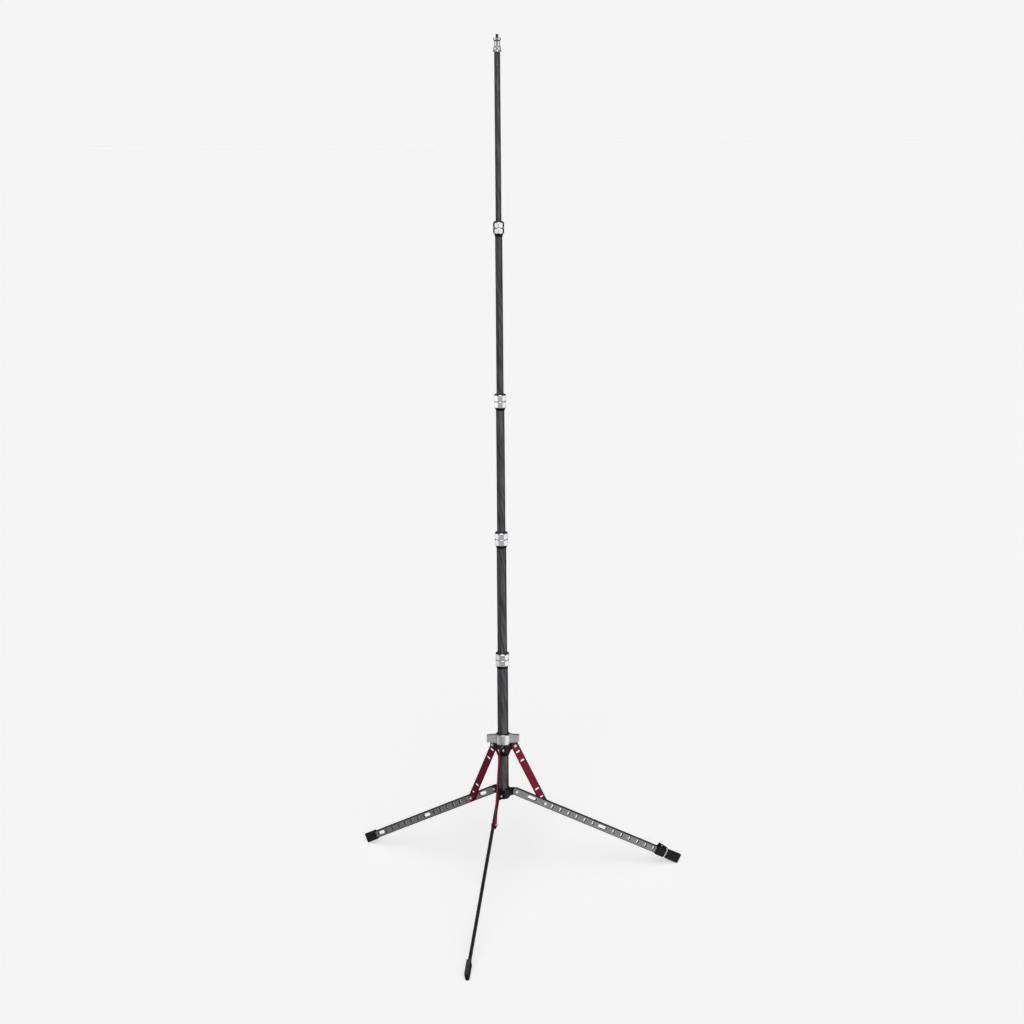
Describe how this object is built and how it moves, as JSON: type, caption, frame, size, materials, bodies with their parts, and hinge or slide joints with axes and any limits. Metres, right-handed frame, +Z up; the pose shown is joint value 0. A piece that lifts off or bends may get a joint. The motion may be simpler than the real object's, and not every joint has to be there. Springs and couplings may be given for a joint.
{
  "type": "prism pole",
  "caption": "Telescopic carbon pole with twist locks and a top stud, on a folding base of flat pierced legs with red struts, a sliding winged collar and a levelling foot.",
  "frame": {"origin": "on the ground under the pole's axis, level with the underside of the three feet", "axes": "+Z up the pole; -Y towards the side the front leg points to, within ten degrees; +X to the right seen from there"},
  "size_m": [0.7869, 0.7543, 1.97],
  "materials": {
    "carbon": "satin woven carbon tube with a clear coat",
    "lock_silver": "satin anodised, turned",
    "knob_silver": "satin anodised",
    "stud_silver": "machined",
    "black_moulded": "fine moulded texture",
    "black_cast": "black, satin",
    "leg_grey": "grey anodised",
    "strut_red": "dark red anodised",
    "foot_rubber": "moulded rubber",
    "bolt_steel": "bright steel",
    "screw_black": "black oxide steel",
    "bush_nylon": "nylon",
    "bar_grey": "satin"
  },
  "bodies": {
    "base": {"tube_1": "carbon", "hub_lower": "black_cast", "hub_plug": "black_moulded", "leg_pivot_bolts": "bolt_steel", "leg_pivot_nuts": "bolt_steel", "lock_base_1": "black_moulded", "lock_collet_1": "bush_nylon"},
    "collar": {"collar_body": "black_cast", "collar_bush": "bush_nylon", "collar_collet": "bush_nylon", "strut_top_bolts": "bolt_steel", "strut_top_nuts": "bolt_steel"},
    "knob": {"wing_knob": "knob_silver", "knob_ring": "black_moulded"},
    "section_2": {"tube_2": "carbon", "guide_bush_2": "bush_nylon", "lock_base_2": "black_moulded", "lock_collet_2": "bush_nylon"},
    "section_3": {"tube_3": "carbon", "guide_bush_3": "bush_nylon", "lock_base_3": "black_moulded", "lock_collet_3": "bush_nylon"},
    "section_4": {"tube_4": "carbon", "guide_bush_4": "bush_nylon", "lock_base_4": "black_moulded", "lock_collet_4": "bush_nylon"},
    "section_5": {"tube_5": "carbon", "guide_bush_5": "bush_nylon", "top_plug": "bar_grey", "stud": "stud_silver", "stud_screw": "screw_black"},
    "nut_1": {"lock_nut_1": "lock_silver", "lock_ring_1": "black_moulded"},
    "nut_2": {"lock_nut_2": "lock_silver", "lock_ring_2": "black_moulded"},
    "nut_3": {"lock_nut_3": "lock_silver", "lock_ring_3": "black_moulded"},
    "nut_4": {"lock_nut_4": "lock_silver", "lock_ring_4": "black_moulded"},
    "leg_front": {"leg_front": "leg_grey", "leg_strut_nut_front": "bolt_steel", "foot_front": "foot_rubber"},
    "strut_front": {"strut_front": "strut_red", "strut_lower_bolt_front": "bolt_steel"},
    "leg_right": {"leg_right": "leg_grey", "leg_strut_nut_right": "bolt_steel", "leveller_clamp": "black_moulded", "lever_pin": "bolt_steel"},
    "strut_right": {"strut_right": "strut_red", "strut_lower_bolt_right": "bolt_steel"},
    "leg_left": {"leg_left": "leg_grey", "leg_strut_nut_left": "bolt_steel", "foot_left": "foot_rubber"},
    "strut_left": {"strut_left": "strut_red", "strut_lower_bolt_left": "bolt_steel"},
    "leveller": {"leveller_bar": "bar_grey", "foot_right": "foot_rubber"},
    "lever": {"leveller_lever": "black_moulded"}
  },
  "joints": [
    {"name": "leg_front_fold", "type": "hinge", "parent": "base", "child": "leg_front", "pos_m": [-0.00477, -0.0285, 0.2504], "axis": [-0.9863, 0.165, 0], "range_deg": [0, 115.52]},
    {"name": "leg_right_fold", "type": "hinge", "parent": "base", "child": "leg_right", "pos_m": [0.02707, 0.01012, 0.2504], "axis": [0.3502, -0.9367, 0], "range_deg": [0, 115.52]},
    {"name": "leg_left_fold", "type": "hinge", "parent": "base", "child": "leg_left", "pos_m": [-0.0223, 0.01838, 0.2504], "axis": [0.6361, 0.7716, 0], "range_deg": [0, 115.52]},
    {"name": "collar_slide", "type": "slide", "parent": "base", "child": "collar", "axis": [0, 0, 1], "range_m": [0, 0.13958]},
    {"name": "strut_front_swing", "type": "hinge", "parent": "collar", "child": "strut_front", "pos_m": [-0.0046, -0.02752, 0.3631], "axis": [0.9863, -0.165, 0], "range_deg": [0, 23.15]},
    {"name": "strut_right_swing", "type": "hinge", "parent": "collar", "child": "strut_right", "pos_m": [0.02613, 0.00977, 0.3631], "axis": [-0.3502, 0.9367, 0], "range_deg": [0, 23.15]},
    {"name": "strut_left_swing", "type": "hinge", "parent": "collar", "child": "strut_left", "pos_m": [-0.02153, 0.01775, 0.3631], "axis": [-0.6361, -0.7716, 0], "range_deg": [0, 23.15]},
    {"name": "knob_turn", "type": "hinge", "parent": "collar", "child": "knob", "pos_m": [0, 0, 0.384], "axis": [0, 0, 1], "range_deg": [0, 270]},
    {"name": "section_2_slide", "type": "slide", "parent": "base", "child": "section_2", "axis": [0, 0, 1], "range_m": [-0.2469, 0]},
    {"name": "section_3_slide", "type": "slide", "parent": "section_2", "child": "section_3", "axis": [0, 0, 1], "range_m": [-0.2772, 0]},
    {"name": "section_4_slide", "type": "slide", "parent": "section_3", "child": "section_4", "axis": [0, 0, 1], "range_m": [-0.3454, 0]},
    {"name": "section_5_slide", "type": "slide", "parent": "section_4", "child": "section_5", "axis": [0, 0, 1], "range_m": [-0.3557, 0]},
    {"name": "lock_1_twist", "type": "hinge", "parent": "base", "child": "nut_1", "pos_m": [0, 0, 0.5772], "axis": [0, 0, 1], "range_deg": [0, 120]},
    {"name": "lock_2_twist", "type": "hinge", "parent": "section_2", "child": "nut_2", "pos_m": [0, 0, 0.8631], "axis": [0, 0, 1], "range_deg": [0, 120]},
    {"name": "lock_3_twist", "type": "hinge", "parent": "section_3", "child": "nut_3", "pos_m": [0, 0, 1.1793], "axis": [0, 0, 1], "range_deg": [0, 120]},
    {"name": "lock_4_twist", "type": "hinge", "parent": "section_4", "child": "nut_4", "pos_m": [0, 0, 1.5617], "axis": [0, 0, 1], "range_deg": [0, 120]},
    {"name": "leveller_slide", "type": "slide", "parent": "leg_right", "child": "leveller", "axis": [0.8151, 0.3048, -0.4927], "range_m": [-0.006, 0.08]},
    {"name": "leveller_lever_flip", "type": "hinge", "parent": "leg_right", "child": "lever", "pos_m": [0.3821, 0.13496, 0.05439], "axis": [0.3502, -0.9367, 0], "range_deg": [0, 90]}
  ],
  "couplings": [
    {"joint": "leg_right_fold", "follows": "leg_front_fold", "ratio": 1},
    {"joint": "leg_left_fold", "follows": "leg_front_fold", "ratio": 1},
    {"joint": "collar_slide", "follows": "leg_front_fold", "m_per_rad": 0.069228},
    {"joint": "strut_front_swing", "follows": "leg_front_fold", "ratio": 0.2004},
    {"joint": "strut_right_swing", "follows": "leg_front_fold", "ratio": 0.2004},
    {"joint": "strut_left_swing", "follows": "leg_front_fold", "ratio": 0.2004}
  ]
}
